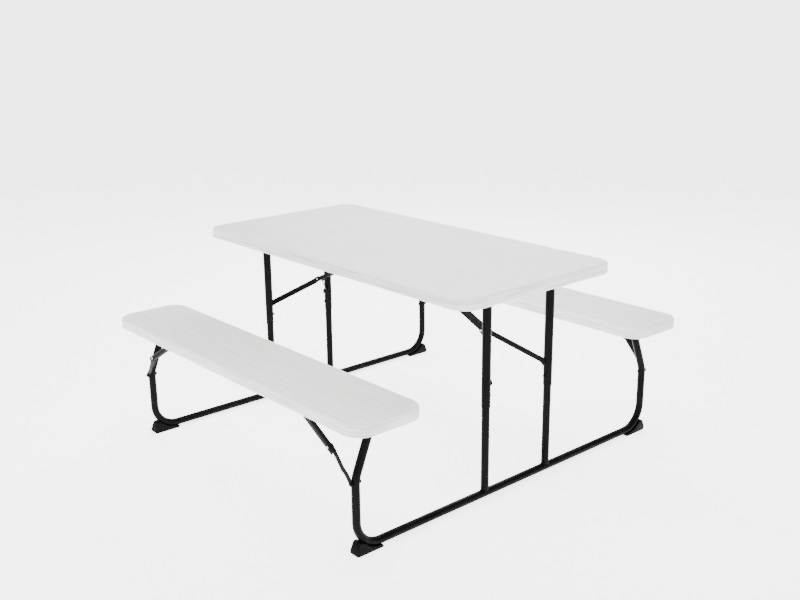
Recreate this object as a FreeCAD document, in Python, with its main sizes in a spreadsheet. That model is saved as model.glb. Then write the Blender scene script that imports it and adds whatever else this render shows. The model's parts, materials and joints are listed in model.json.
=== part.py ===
import FreeCAD, Part
import math
import os
import Sketcher

# Folding picnic table with two benches.  Millimetres, +Z up, origin on the floor under
# the middle of the table.  X runs along the panels, Y from the front bench to the rear one.

doc = FreeCAD.newDocument("FoldingPicnicTable")
sheet = doc.addObject("Spreadsheet::Sheet", "Sizes")

DRIVING_SIZES = (
    ("panelLength", 1372.0),
    ("tableWidth", 678.0),
    ("benchWidth", 255.0),
    ("overallWidth", 1462.0),
    ("tableHeight", 706.0),
    ("benchHeight", 438.0),
    ("rimHeight", 36.0),
    ("rimWidth", 16.0),
    ("plateThickness", 18.0),
    ("cornerRadius", 60.0),
    ("recessRadius", 44.0),
    ("topEdgeRadius", 8.0),
    ("frameOffset", 584.0),
    ("railInset", 23.0),
    ("railHeight", 17.0),
    ("railFlange", 16.0),
    ("sheetThickness", 2.0),
    ("earRadius", 12.0),
    ("pivotRise", 2.5),
    ("axleRadius", 5.0),
    ("tubeDiameter", 25.4),
    ("tubeWall", 1.5),
    ("sleeveDiameter", 28.6),
    ("sleeveWall", 1.2),
    ("baseHeight", 18.0),
    ("postOffset", 143.0),
    ("postTop", 372.0),
    ("sleeveLength", 365.0),
    ("buttonHeight", 342.0),
    ("buttonRadius", 4.0),
    ("riserOffset", 659.0),
    ("riserTopOffset", 595.0),
    ("kneeHeight", 236.0),
    ("lowerBend", 85.0),
    ("upperBend", 100.0),
    ("footWidth", 32.0),
    ("hangerOffset", 24.0),
    ("hangerDrop", 28.5),
    ("foldedClearance", 1.3),
    ("armDrop", 288.5),
    ("armWidth", 20.0),
    ("linkLength", 453.0),
    ("linkWidth", 24.0),
    ("linkHeight", 14.0),
    ("linkOverhang", 30.0),
    ("bracePivotOffset", 379.0),
    ("bracePivotHeight", 390.0),
    ("braceBoltHeight", 226.0),
    ("braceLayer", 679.5),
    ("channelWidth", 12.0),
    ("channelHeight", 17.0),
    ("channelLength", 146.0),
    ("channelOverhang", 24.0),
    ("barWidth", 16.0),
    ("barThickness", 3.0),
    ("gap", 0.5),
    ("pinGap", 0.1),
    ("axleHeadRadius", 8.0),
    ("axleHeadHeight", 3.0),
    ("tableBoltHead", 4.0),
    ("boltRadius", 4.0),
    ("boltHeadRadius", 6.0),
    ("boltHeadHeight", 3.0),
    ("hangerPinHead", 2.5),
    ("rivetRadius", 3.0),
    ("rivetHeadRadius", 5.5),
    ("rivetHeadHeight", 2.0),
    ("bracketRivetHead", 1.5),
    ("screwRadius", 2.0),
    ("screwLength", 12.0),
    ("screwHeadRadius", 4.5),
    ("screwHeadHeight", 2.5),
    ("bushLength", 14.0),
    ("channelSheet", 1.6),
    ("crossbarWidth", 20.0),
    ("crossbarThickness", 4.0),
    ("hangerPlate", 3.0),
    ("hangerReach", 12.0),
    ("hangerSkirt", 10.0),
    ("bracketHalfLength", 12.0),
    ("bracketPlate", 2.5),
    ("bracketClearance", 0.6),
    ("barClearance", 0.8),
    ("boltClearance", 0.4),
    ("buttonReach", 4.0),
    ("buttonHoleGap", 0.3),
    ("springWidth", 8.0),
)
# How far below level the upper members of the braces lie when the frames are folded.
FOLDED_LINK_SLOPE = math.radians(0.0)
FOLDED_CHANNEL_SLOPE = math.radians(2.0)


def fill_sheet(first_row, entries):
    """Write one row per size: its alias in column A, its number in column B."""
    for row, (alias, number) in enumerate(entries, start=first_row):
        sheet.set("A%d" % row, alias)
        sheet.set("B%d" % row, repr(number))
        sheet.setAlias("B%d" % row, alias)
    doc.recompute()


fill_sheet(1, DRIVING_SIZES)


class Size:
    """A length that keeps its number together with the sheet expression that yields it."""

    def __init__(self, number, text):
        self.number = number
        self.text = text

    def __add__(self, other):
        other = as_size(other)
        return Size(self.number + other.number, "(%s + %s)" % (self.text, other.text))

    def __radd__(self, other):
        return as_size(other) + self

    def __sub__(self, other):
        other = as_size(other)
        return Size(self.number - other.number, "(%s - %s)" % (self.text, other.text))

    def __rsub__(self, other):
        return as_size(other) - self

    def __mul__(self, factor):
        factor = as_size(factor)
        return Size(self.number * factor.number, "(%s * %s)" % (self.text, factor.text))

    def __rmul__(self, factor):
        return as_size(factor) * self

    def __truediv__(self, divisor):
        divisor = as_size(divisor)
        return Size(self.number / divisor.number, "(%s / %s)" % (self.text, divisor.text))

    def __neg__(self):
        return Size(-self.number, "(0 - %s)" % self.text)


def as_size(value):
    return value if isinstance(value, Size) else Size(float(value), repr(float(value)))


def cell(alias):
    return Size(float(getattr(sheet, alias)), "Sizes." + alias)


def brace_at_rest(anchor, end_at_rest, end_folded, link, folded_slope):
    """Bar length and rest slopes of a two-bar brace whose elbow rests above the straight line.

    When folded, the link lies at the folded slope below level and the bar doubles back.
    Returns the bar length, then the slopes of link and bar at rest in degrees.
    """
    folded_elbow = (
        anchor[0] + link * math.cos(folded_slope),
        anchor[1] - link * math.sin(folded_slope),
    )
    bar = math.dist(folded_elbow, end_folded)
    reach = math.dist(anchor, end_at_rest)
    straight = math.atan2(anchor[1] - end_at_rest[1], end_at_rest[0] - anchor[0])
    opening = math.acos((link * link + reach * reach - bar * bar) / (2.0 * link * reach))
    slope = straight - opening
    elbow = (anchor[0] + link * math.cos(slope), anchor[1] - link * math.sin(slope))
    bar_slope = math.atan2(elbow[1] - end_at_rest[1], end_at_rest[0] - elbow[0])
    return bar, math.degrees(slope), math.degrees(bar_slope)


# Heights of the pivot axes, and how far the table drops to come level with the benches.
TABLE_PIVOT = cell("tableHeight") - cell("rimHeight") + cell("pivotRise")
BENCH_PIVOT = cell("benchHeight") - cell("rimHeight") + cell("pivotRise")
STROKE = cell("tableHeight") - cell("benchHeight")
HANGER_PIVOT = cell("tableHeight") - cell("hangerDrop")
ARM_PIVOT = TABLE_PIVOT - cell("armDrop")
BENCH_CENTRE = (cell("overallWidth") - cell("benchWidth")) / 2

# The frames fold until their base tubes pass just below the panel rims.
folded_base = cell("benchHeight") - cell("rimHeight") - cell("tubeDiameter") / 2 - cell("foldedClearance")
fold_drop = (BENCH_PIVOT - folded_base).number / (BENCH_PIVOT - cell("baseHeight")).number
FOLD_ANGLE = math.acos(fold_drop)


def folded_place(distance, pivot_z):
    """Where a point of the end frame, at a distance below its pivot, lies when folded."""
    x = cell("frameOffset").number - distance.number * math.sin(FOLD_ANGLE)
    return x, pivot_z.number - distance.number * math.cos(FOLD_ANGLE)


arm_length, link_slope, arm_slope = brace_at_rest(
    (cell("hangerOffset").number, HANGER_PIVOT.number),
    (cell("frameOffset").number, ARM_PIVOT.number),
    folded_place(cell("armDrop"), TABLE_PIVOT),
    cell("linkLength").number,
    FOLDED_LINK_SLOPE,
)
bar_length, channel_slope, bar_slope = brace_at_rest(
    (cell("bracePivotOffset").number, cell("bracePivotHeight").number),
    (cell("frameOffset").number, cell("braceBoltHeight").number),
    folded_place(BENCH_PIVOT - cell("braceBoltHeight"), BENCH_PIVOT),
    cell("channelLength").number,
    FOLDED_CHANNEL_SLOPE,
)

fill_sheet(len(DRIVING_SIZES) + 1, (("armLength", arm_length), ("barLength", bar_length)))

X_AXIS = FreeCAD.Vector(1, 0, 0)
Y_AXIS = FreeCAD.Vector(0, 1, 0)
Z_AXIS = FreeCAD.Vector(0, 0, 1)
NO_TURN = FreeCAD.Rotation()
HALF_TURN = FreeCAD.Rotation(Z_AXIS, 180)
ALONG = {
    "x": FreeCAD.Rotation(Y_AXIS, 90),
    "y": FreeCAD.Rotation(X_AXIS, -90),
    "z": NO_TURN,
}
SIDES = (("left", -1), ("right", 1))
ENDS = (("front", -1), ("rear", 1))

sub_parts = []


def bind(target, path, size):
    target.setExpression(path, as_size(size).text)


def place(target, x, y, z, rotation=NO_TURN):
    """Put an object at a position taken from the sheet, turned by a fixed rotation."""
    target.Placement = FreeCAD.Placement(FreeCAD.Vector(0, 0, 0), rotation)
    bind(target, "Placement.Base.x", x)
    bind(target, "Placement.Base.y", y)
    bind(target, "Placement.Base.z", z)
    return target


def finish_part(target, label):
    target.Label = label
    sub_parts.append(target)
    return target


def box(x_range, y_range, z_range):
    """A Part::Box between two corners given as (low, high) per axis."""
    solid = doc.addObject("Part::Box", "Block")
    for edge, (low, high) in zip(("Length", "Width", "Height"), (x_range, y_range, z_range)):
        bind(solid, edge, as_size(high) - low)
    return place(solid, x_range[0], y_range[0], z_range[0])


def cylinder(axis, radius, start, length):
    """A Part::Cylinder that starts at a point and runs along +X, +Y or +Z."""
    solid = doc.addObject("Part::Cylinder", "Round")
    bind(solid, "Radius", radius)
    bind(solid, "Height", length)
    return place(solid, *start, rotation=ALONG[axis])


def fuse(pieces):
    joined = doc.addObject("Part::MultiFuse", "Joined")
    joined.Shapes = pieces
    return joined


def cut(base, tools):
    result = doc.addObject("Part::Cut", "Trimmed")
    result.Base = base
    result.Tool = tools[0] if len(tools) == 1 else fuse(tools)
    return result


def group(pieces):
    """Several separate solids that are one node."""
    together = doc.addObject("Part::Compound", "Set")
    together.Links = pieces
    return together


def span(start, end, sign):
    """The two values in ascending order once both are multiplied by the sign."""
    first = as_size(start) * sign
    second = as_size(end) * sign
    return (first, second) if sign > 0 else (second, first)


# ---------------------------------------------------------------- sketched bodies

def origin_plane(body, role):
    return next(plane for plane in body.Origin.OriginFeatures if plane.Role == role)


def new_sketch(body, role):
    sketch = body.newObject("Sketcher::SketchObject", "Outline")
    sketch.AttachmentSupport = [(origin_plane(body, role), "")]
    sketch.MapMode = "FlatFace"
    return sketch


def fix_point(sketch, geometry, position, point):
    """Hold a sketch point at a place whose two coordinates come from the sheet."""
    for kind, size in zip(("DistanceX", "DistanceY"), point):
        size = as_size(size)
        index = sketch.addConstraint(Sketcher.Constraint(kind, -1, 1, geometry, position, size.number))
        bind(sketch, "Constraints[%d]" % index, size)


def draw_polygon(sketch, points):
    corners = [FreeCAD.Vector(as_size(u).number, as_size(v).number, 0) for u, v in points]
    lines = [
        sketch.addGeometry(Part.LineSegment(corners[i], corners[(i + 1) % len(corners)]))
        for i in range(len(corners))
    ]
    for i, line in enumerate(lines):
        sketch.addConstraint(Sketcher.Constraint("Coincident", line, 2, lines[(i + 1) % len(lines)], 1))
    for line, point in zip(lines, points):
        fix_point(sketch, line, 1, point)


def draw_circle(sketch, radius, centre):
    radius = as_size(radius)
    middle = FreeCAD.Vector(as_size(centre[0]).number, as_size(centre[1]).number, 0)
    circle = sketch.addGeometry(Part.Circle(middle, Z_AXIS, radius.number))
    index = sketch.addConstraint(Sketcher.Constraint("Radius", circle, radius.number))
    bind(sketch, "Constraints[%d]" % index, radius)
    fix_point(sketch, circle, 3, centre)


def pad(body, sketch, length, midplane=False):
    feature = body.newObject("PartDesign::Pad", "Pad")
    feature.Profile = sketch
    bind(feature, "Length", length)
    feature.Midplane = midplane
    doc.recompute()
    return feature


def fillet(body, base, radius, wanted):
    """Round the edges of the base feature that the wanted() test picks."""
    names = ["Edge%d" % (i + 1) for i, edge in enumerate(base.Shape.Edges) if wanted(edge)]
    feature = body.newObject("PartDesign::Fillet", "Fillet")
    feature.Base = (base, names)
    bind(feature, "Radius", radius)
    doc.recompute()
    return feature


def runs_along(edge, axis):
    """True for a straight edge that is parallel to the axis."""
    if not isinstance(edge.Curve, Part.Line):
        return False
    return abs(edge.tangentAt(edge.FirstParameter).dot(axis)) > 0.999


# ---------------------------------------------------------------- panels and rails

def rounded_slab(half_x, half_y, height, radius):
    """A body padded up from a rectangle whose upright edges are rounded."""
    body = doc.addObject("PartDesign::Body", "Slab")
    outline = new_sketch(body, "XY_Plane")
    draw_polygon(outline, [(-half_x, -half_y), (half_x, -half_y), (half_x, half_y), (-half_x, half_y)])
    slab = pad(body, outline, height)
    return body, fillet(body, slab, radius, lambda edge: runs_along(edge, Z_AXIS))


def panel(label, width, centre_y, top_z):
    """A moulded panel: a plate with a deeper rim all round, open underneath."""
    half_x = cell("panelLength") / 2
    half_y = width / 2
    bottom = top_z - cell("rimHeight")
    shell, sides = rounded_slab(half_x, half_y, cell("rimHeight"), cell("cornerRadius"))
    top = cell("rimHeight").number
    fillet(shell, sides, cell("topEdgeRadius"), lambda edge: edge.BoundBox.ZMin > top - 0.01)
    place(shell, 0, centre_y, bottom)

    rim = cell("rimWidth")
    depth = cell("rimHeight") - cell("plateThickness")
    recess, _ = rounded_slab(half_x - rim, half_y - rim, depth, cell("recessRadius"))
    place(recess, 0, centre_y, bottom)
    return finish_part(cut(shell, [recess]), label)


def rail(label, centre_y, top_z, inward):
    """A long angle under a panel, with an ear at each end that carries a pivot bar."""
    ceiling = top_z - cell("plateThickness")
    pivot_z = top_z - cell("rimHeight") + cell("pivotRise")
    half = cell("sheetThickness") / 2
    end_x = cell("frameOffset") + cell("earRadius") + cell("sheetThickness") * 2
    web_y = (centre_y - half, centre_y + half)
    web = box((-end_x, end_x), web_y, (ceiling - cell("railHeight"), ceiling))
    flange_y = (centre_y + half, centre_y + half + cell("railFlange"))
    if inward < 0:
        flange_y = (centre_y - half - cell("railFlange"), centre_y - half)
    flange = box((-end_x, end_x), flange_y, (ceiling - cell("sheetThickness"), ceiling))
    pieces = [web, flange]
    holes = []
    for sign in (-1, 1):
        ear_x = cell("frameOffset") * sign
        ear_range = (ear_x - cell("earRadius"), ear_x + cell("earRadius"))
        ear = box(ear_range, web_y, (pivot_z, ceiling - cell("railHeight") / 2))
        pieces.append(ear)
        pieces.append(cylinder("y", cell("earRadius"), (ear_x, web_y[0], pivot_z), cell("sheetThickness")))
        start = (ear_x, web_y[0] - 1, pivot_z)
        holes.append(cylinder("y", cell("axleRadius"), start, cell("sheetThickness") + 2))
    return finish_part(cut(fuse(pieces), holes), label)


def screw(x, y, head_top_z):
    """A pan-head screw that points up: its head below a flange, its shank in the panel."""
    head_height = cell("screwHeadHeight")
    head = cylinder("z", cell("screwHeadRadius"), (x, y, head_top_z - head_height), head_height)
    shank = cylinder("z", cell("screwRadius"), (x, y, head_top_z), cell("screwLength"))
    return fuse([head, shank])


# Screw places along a rail, as shares of the distance to the pivot.
SCREW_STATIONS = (-0.92, -0.46, 0.12, 0.5, 0.92)


def rail_screws(centre_y, top_z, inward):
    flange_y = centre_y + (cell("sheetThickness") / 2 + cell("railFlange") / 2) * inward
    head_top = top_z - cell("plateThickness") - cell("sheetThickness")
    return [screw(cell("frameOffset") * share, flange_y, head_top) for share in SCREW_STATIONS]


TABLE_RAIL = cell("tableWidth") / 2 - cell("railInset")
BENCH_RAIL = cell("benchWidth") / 2 - cell("railInset")

panel("table_panel", cell("tableWidth"), as_size(0), cell("tableHeight"))
table_screw_list = []
bench_screw_list = []
for end, sign in ENDS:
    rail("table_rail_" + end, TABLE_RAIL * sign, cell("tableHeight"), -sign)
    table_screw_list += rail_screws(TABLE_RAIL * sign, cell("tableHeight"), -sign)
    centre = BENCH_CENTRE * sign
    panel("bench_panel_" + end, cell("benchWidth"), centre, cell("benchHeight"))
    for place_name, outward in (("inner", -sign), ("outer", sign)):
        rail_y = centre + BENCH_RAIL * outward
        rail("bench_rail_%s_%s" % (end, place_name), rail_y, cell("benchHeight"), -outward)
        bench_screw_list += rail_screws(rail_y, cell("benchHeight"), -outward)
finish_part(group(table_screw_list), "table_screws")
finish_part(group(bench_screw_list), "bench_screws")


# ---------------------------------------------------------------- pivot bars and axles

def bar_with_bushes(x, y_range, z):
    """A tube across the frame whose plugged ends leave a bore for the hinge axle."""
    plug = cell("bushLength")
    length = y_range[1] - y_range[0]
    tube = cylinder("y", cell("tubeDiameter") / 2, (x, y_range[0], z), length)
    inside = cell("tubeDiameter") / 2 - cell("tubeWall")
    hollow = cylinder("y", inside, (x, y_range[0] + plug, z), length - 2 * plug)
    bore = cylinder("y", cell("axleRadius") + cell("pinGap"), (x, y_range[0] - 1, z), length + 2)
    return cut(tube, [hollow, bore])


def headed_pin(x, z, y_range, radius, head_radius, head_low, head_high):
    """A pin along Y with a head of the given thickness beyond each end that has one."""
    shank = cylinder("y", radius, (x, y_range[0], z), y_range[1] - y_range[0])
    pieces = [shank]
    if head_low:
        pieces.append(cylinder("y", head_radius, (x, y_range[0] - head_low, z), head_low))
    if head_high:
        pieces.append(cylinder("y", head_radius, (x, y_range[1], z), head_high))
    return fuse(pieces)


def outer_head(height, sign):
    """Head heights, low Y end first, of a pin that is headed only away from the middle."""
    return (0, height) if sign > 0 else (height, 0)


half_sheet = cell("sheetThickness") / 2
axles = []
for end, end_sign in ENDS:
    for side, side_sign in SIDES:
        reach = BENCH_RAIL + half_sheet
        limits = (BENCH_CENTRE * end_sign - reach, BENCH_CENTRE * end_sign + reach)
        x = cell("frameOffset") * side_sign
        heads = (cell("axleHeadHeight"), cell("axleHeadHeight"))
        pin = headed_pin(x, BENCH_PIVOT, limits, cell("axleRadius"), cell("axleHeadRadius"), *heads)
        axles.append(pin)
finish_part(group(axles), "bench_pivot_axles")

table_bolts = []
for end, end_sign in ENDS:
    for side, side_sign in SIDES:
        limits = span(TABLE_RAIL - half_sheet, TABLE_RAIL + half_sheet, end_sign)
        heads = outer_head(cell("tableBoltHead"), end_sign)
        x = cell("frameOffset") * side_sign
        pin = headed_pin(x, TABLE_PIVOT, limits, cell("axleRadius"), cell("axleHeadRadius"), *heads)
        table_bolts.append(pin)
finish_part(group(table_bolts), "table_pivot_bolts")

for side, side_sign in SIDES:
    x = cell("frameOffset") * side_sign
    bars = []
    for end, end_sign in ENDS:
        reach = BENCH_RAIL - half_sheet - cell("gap")
        limits = (BENCH_CENTRE * end_sign - reach, BENCH_CENTRE * end_sign + reach)
        bars.append(bar_with_bushes(x, limits, BENCH_PIVOT))
    finish_part(group(bars), "bench_pivot_bars_" + side)
    reach = TABLE_RAIL - half_sheet - cell("gap")
    finish_part(bar_with_bushes(x, (-reach, reach), TABLE_PIVOT), "table_pivot_bar_" + side)


# ---------------------------------------------------------------- end frames

def bend_path(sketch, corners, radii):
    """An open run of straight lines joined by tangent arcs at the inner corners."""
    points = [FreeCAD.Vector(as_size(u).number, as_size(v).number, 0) for u, v in corners]
    edges = []
    start = points[0]
    for i in range(1, len(points) - 1):
        before = (points[i - 1] - points[i]).normalize()
        after = (points[i + 1] - points[i]).normalize()
        turn = math.pi - math.acos(before.dot(after))
        radius = as_size(radii[i - 1]).number
        setback = radius * math.tan(turn / 2)
        entry = points[i] + before * setback
        leave = points[i] + after * setback
        inside = (before + after).normalize()
        middle = points[i] + inside * (radius / math.cos(turn / 2) - radius)
        edges.append(Part.LineSegment(start, entry))
        edges.append(Part.Arc(entry, middle, leave))
        start = leave
    edges.append(Part.LineSegment(start, points[-1]))
    indices = [sketch.addGeometry(edge) for edge in edges]
    for index in indices:
        sketch.addConstraint(Sketcher.Constraint("Block", index))


def bent_tube(half_path, bends, outer, inner):
    """Half of a tube swept from the middle plane and mirrored to the other side."""
    body = doc.addObject("PartDesign::Body", "BentTube")
    spine = new_sketch(body, "YZ_Plane")
    bend_path(spine, half_path, bends)
    section = new_sketch(body, "XZ_Plane")
    draw_circle(section, outer, (0, half_path[0][1]))
    if inner is not None:
        draw_circle(section, inner, (0, half_path[0][1]))
    doc.recompute()
    pipe = body.newObject("PartDesign::AdditivePipe", "Sweep")
    pipe.Profile = section
    pipe.Spine = spine
    doc.recompute()
    mirror = body.newObject("PartDesign::Mirrored", "OtherHalf")
    mirror.Originals = [pipe]
    mirror.MirrorPlane = (origin_plane(body, "XZ_Plane"), [""])
    body.Tip = mirror
    doc.recompute()
    return body


TUBE = cell("tubeDiameter") / 2
BORE = TUBE - cell("tubeWall")
SLEEVE = cell("sleeveDiameter") / 2
SLEEVE_BORE = SLEEVE - cell("sleeveWall")
LEG_PATH = (
    (as_size(0), cell("baseHeight")),
    (cell("riserOffset"), cell("baseHeight")),
    (cell("riserOffset"), cell("kneeHeight")),
    (cell("riserTopOffset"), BENCH_PIVOT),
)
LEG_BENDS = (cell("lowerBend"), cell("upperBend"))


# The shoe's outline: distance outwards from the riser's centre line, and height.
FOOT_PROFILE = (
    (-86, 0),
    (8, 0),
    (13, 5),
    (12.5, 13),
    (2, 37),
    (-2, 40),
    (-12, 40),
    (-22, 30),
    (-44, 14),
    (-86, 7),
)
# The spring's outline about the button: distance towards the button's tip, and height.
SPRING_PROFILE = ((8.7, 14), (7.9, 14), (-0.5, -28), (-9.2, 14), (-10.0, 14), (-0.5, -31))


def foot(sign):
    """A moulded shoe that cradles the tube's lower bend and spreads out on the floor."""
    body = doc.addObject("PartDesign::Body", "Foot")
    outline = new_sketch(body, "YZ_Plane")
    profile = [(cell("riserOffset") + shift, as_size(height)) for shift, height in FOOT_PROFILE]
    draw_polygon(outline, [(u * sign, v) for u, v in profile])
    pad(body, outline, cell("footWidth"), midplane=True)
    return body


def button_spring(x, sign):
    """The V of flat spring steel inside a post that pushes the snap button out."""
    body = doc.addObject("PartDesign::Body", "Spring")
    outline = new_sketch(body, "YZ_Plane")
    draw_polygon(outline, [(as_size(-u * sign), as_size(v)) for u, v in SPRING_PROFILE])
    pad(body, outline, cell("springWidth"), midplane=True)
    return place(body, x, cell("postOffset") * sign, cell("buttonHeight"))


def button_hole(x, y, z, sign):
    """A cutter for one snap-button hole through the wall that faces the middle."""
    limits = span(y * sign - SLEEVE * 1.3, y * sign - SLEEVE * 0.6, sign)
    radius = cell("buttonRadius") + cell("buttonHoleGap")
    return cylinder("y", radius, (x, limits[0], z), limits[1] - limits[0])


def snap_button(x, sign):
    """A short peg through both walls with a domed tip outside the sleeve."""
    radius = cell("buttonRadius")
    z = cell("buttonHeight")
    dome_y = cell("postOffset") - SLEEVE - cell("buttonReach")
    inner_end = cell("postOffset") - TUBE - cell("pinGap") * 2
    shaft_y = span(dome_y, inner_end, sign)
    shaft = cylinder("y", radius, (x, shaft_y[0], z), shaft_y[1] - shaft_y[0])
    dome = doc.addObject("Part::Sphere", "Dome")
    bind(dome, "Radius", radius)
    place(dome, x, dome_y * sign, z)
    return fuse([shaft, dome])


def round_notch(x, y, z, radius):
    """A cutter along Y, long enough to pass right through a tube that is centred at y."""
    reach = cell("sleeveDiameter") * 2
    return cylinder("y", radius, (x, y - reach, z), reach * 2)


# The brace bolts run from inside the riser to just outside the bar.
BAR_NEAR = cell("riserOffset") + TUBE + cell("barClearance")
BOLT_START = cell("riserOffset") - TUBE - 3 * cell("gap")
BOLT_END = BAR_NEAR + cell("barThickness") + cell("boltClearance")

for side, side_sign in SIDES:
    x = cell("frameOffset") * side_sign
    raw_tube = bent_tube(LEG_PATH, LEG_BENDS, TUBE, BORE)
    place(raw_tube, x, 0, 0)
    solid_tube = bent_tube(LEG_PATH, LEG_BENDS, TUBE, None)
    place(solid_tube, x, 0, 0)

    notches = []
    bolts = []
    feet = []
    springs = []
    for end, end_sign in ENDS:
        notches.append(round_notch(x, cell("riserTopOffset") * end_sign, BENCH_PIVOT, TUBE))
        bolt_y = span(BOLT_START, BOLT_END, end_sign)
        heads = (cell("boltHeadHeight"), cell("boltHeadHeight"))
        bolt_height = cell("braceBoltHeight")
        radii = (cell("boltRadius"), cell("boltHeadRadius"))
        bolts.append(headed_pin(x, bolt_height, bolt_y, *radii, *heads))
        notches.append(round_notch(x, cell("riserOffset") * end_sign, bolt_height, cell("boltRadius")))

        shoe = cut(place(foot(end_sign), x, 0, 0), [solid_tube])
        feet.append(shoe)
        springs.append(button_spring(x, end_sign))

        post_y = cell("postOffset") * end_sign
        post_height = cell("postTop") - cell("baseHeight")
        post = cylinder("z", TUBE, (x, post_y, cell("baseHeight")), post_height)
        bore = cylinder("z", BORE, (x, post_y, cell("baseHeight")), post_height + 1)
        saddle = round_notch(x, post_y, cell("baseHeight"), TUBE)
        upper_hole = button_hole(x, cell("postOffset") * end_sign, cell("buttonHeight"), end_sign)
        lower_hole = button_hole(x, cell("postOffset") * end_sign, cell("buttonHeight") - STROKE, end_sign)
        lower_post = cut(post, [bore, saddle, upper_hole, lower_hole])
        finish_part(lower_post, "inner_post_%s_%s" % (side, end))

        sleeve_low = TABLE_PIVOT - cell("sleeveLength")
        sleeve = cylinder("z", SLEEVE, (x, post_y, sleeve_low), cell("sleeveLength"))
        sleeve_bore = cylinder("z", SLEEVE_BORE, (x, post_y, sleeve_low - 1), cell("sleeveLength") + 2)
        bar_notch = round_notch(x, post_y, TABLE_PIVOT, TUBE)
        sleeve_hole = button_hole(x, cell("postOffset") * end_sign, cell("buttonHeight"), end_sign)
        rivet_y = span(cell("postOffset") - SLEEVE - 1, cell("postOffset") - SLEEVE_BORE, end_sign)
        rivet_start = (x, rivet_y[0], ARM_PIVOT)
        rivet_hole = cylinder("y", cell("rivetRadius"), rivet_start, rivet_y[1] - rivet_y[0])
        upper_post = cut(sleeve, [sleeve_bore, bar_notch, sleeve_hole, rivet_hole])
        finish_part(upper_post, "outer_post_%s_%s" % (side, end))

        finish_part(snap_button(x, end_sign), "snap_button_%s_%s" % (side, end))

    finish_part(cut(raw_tube, notches), "base_tube_" + side)
    finish_part(group(feet), "feet_" + side)
    finish_part(group(bolts), "brace_bolts_" + side)
    finish_part(group(springs), "button_springs_" + side)


# ---------------------------------------------------------------- table brace

LINK_SIDE = cell("linkWidth") / 2
HANGER_SHEET = cell("sheetThickness")

crossbar_top = cell("tableHeight") - cell("plateThickness")
crossbar_reach = TABLE_RAIL - half_sheet - cell("railFlange")
crossbar_half = cell("crossbarWidth") / 2
crossbar_low = crossbar_top - cell("crossbarThickness")
crossbar_x = (-crossbar_half, crossbar_half)
crossbar = box(crossbar_x, (-crossbar_reach, crossbar_reach), (crossbar_low, crossbar_top))
finish_part(crossbar, "table_crossbar")

HANGER_HALF = LINK_SIDE + 2 * cell("gap")
hanger_base = (crossbar_low - cell("hangerPlate"), crossbar_low)
hanger_pieces = [box(crossbar_x, (-HANGER_HALF, HANGER_HALF), hanger_base)]
hanger_holes = []
pins = []
pin_reach = HANGER_HALF + HANGER_SHEET
for sign in (-1, 1):
    plate_y = span(HANGER_HALF, pin_reach, sign)
    plate_x = cell("hangerOffset") + cell("hangerReach")
    plate_z = (HANGER_PIVOT - cell("hangerSkirt"), crossbar_low)
    hanger_pieces.append(box((-plate_x, plate_x), plate_y, plate_z))
    pin_x = cell("hangerOffset") * sign
    radii = (cell("boltRadius"), cell("boltHeadRadius"))
    heads = (cell("hangerPinHead"), cell("hangerPinHead"))
    pins.append(headed_pin(pin_x, HANGER_PIVOT, (-pin_reach, pin_reach), *radii, *heads))
    hanger_holes.append(round_notch(pin_x, as_size(0), HANGER_PIVOT, cell("boltRadius")))
finish_part(cut(fuse(hanger_pieces), hanger_holes), "brace_hanger")
finish_part(group(pins), "hanger_pins")


def channel(length, tail, overhang, width_range, height, pivot_radius, rivet):
    """A pressed channel, open downwards, with its first pivot at the local origin.

    It runs along local X from -tail to length + overhang; the holes lie on its centre line.
    """
    half = height / 2
    sheet_thickness = cell("channelSheet")
    low_y, high_y = width_range
    outside = box((-as_size(tail), length + overhang), width_range, (-half, half))
    inside = box(
        (-as_size(tail) - 1, length + overhang + 1),
        (low_y + sheet_thickness, high_y - sheet_thickness),
        (-half - 1, half - sheet_thickness),
    )
    reach = high_y - low_y
    pivot = cylinder("y", pivot_radius, (0, low_y - 1, 0), reach + 2)
    return fuse([cut(outside, [inside, pivot]), rivet])


def stepped_strip(width, length, near, far, step, sign, bore_radius):
    """A flat bar along local X that steps sideways from one layer to another.

    near and far are the layers' lower Y values; step holds the X places where the bar leaves
    the near layer and reaches the far one.  Its ends are rounded about their two holes.
    """
    body = doc.addObject("PartDesign::Body", "Strip")
    outline = new_sketch(body, "XY_Plane")
    thick = cell("barThickness")
    end = width / 2
    leave, reach = step
    # The two sides of the slanting part are shifted by this much so that it stays as thick.
    shift = 1 if near.number < far.number else -1
    profile = (
        (-end, near),
        (leave, near),
        (reach, far),
        (length + end, far),
        (length + end, far + thick),
        (reach - shift, far + thick),
        (leave - shift, near + thick),
        (-end, near + thick),
    )
    draw_polygon(outline, [(u, v * sign) for u, v in profile])
    strip = pad(body, outline, width, midplane=True)
    low = -end.number + 0.1
    high = (length + end).number - 0.1

    def at_an_end(edge):
        middle = edge.BoundBox.Center.x
        return runs_along(edge, Y_AXIS) and not low < middle < high

    fillet(body, strip, end - cell("pinGap"), at_an_end)
    bore_y = span(near - thick, near + 2 * thick, sign)
    bore = cylinder("y", bore_radius + cell("pinGap"), (0, bore_y[0], 0), bore_y[1] - bore_y[0])
    return cut(body, [bore])


def arm(sign):
    """A flat arm from the post's inner side to the elbow, bent so that both ends lie flat."""
    post_layer = cell("postOffset") - SLEEVE - cell("gap") - cell("barThickness")
    elbow_layer = LINK_SIDE + cell("gap")
    length = cell("armLength")
    step = (cell("armWidth") * 0.75, length - cell("armWidth") * 0.9)
    bored = stepped_strip(
        cell("armWidth"), length, post_layer, elbow_layer, step, sign, cell("rivetRadius")
    )
    outside = elbow_layer + cell("barThickness")
    head_y = span(outside, outside + cell("rivetHeadHeight"), sign)
    head = cylinder("y", cell("rivetHeadRadius"), (length, head_y[0], 0), cell("rivetHeadHeight"))
    return fuse([bored, head])


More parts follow.
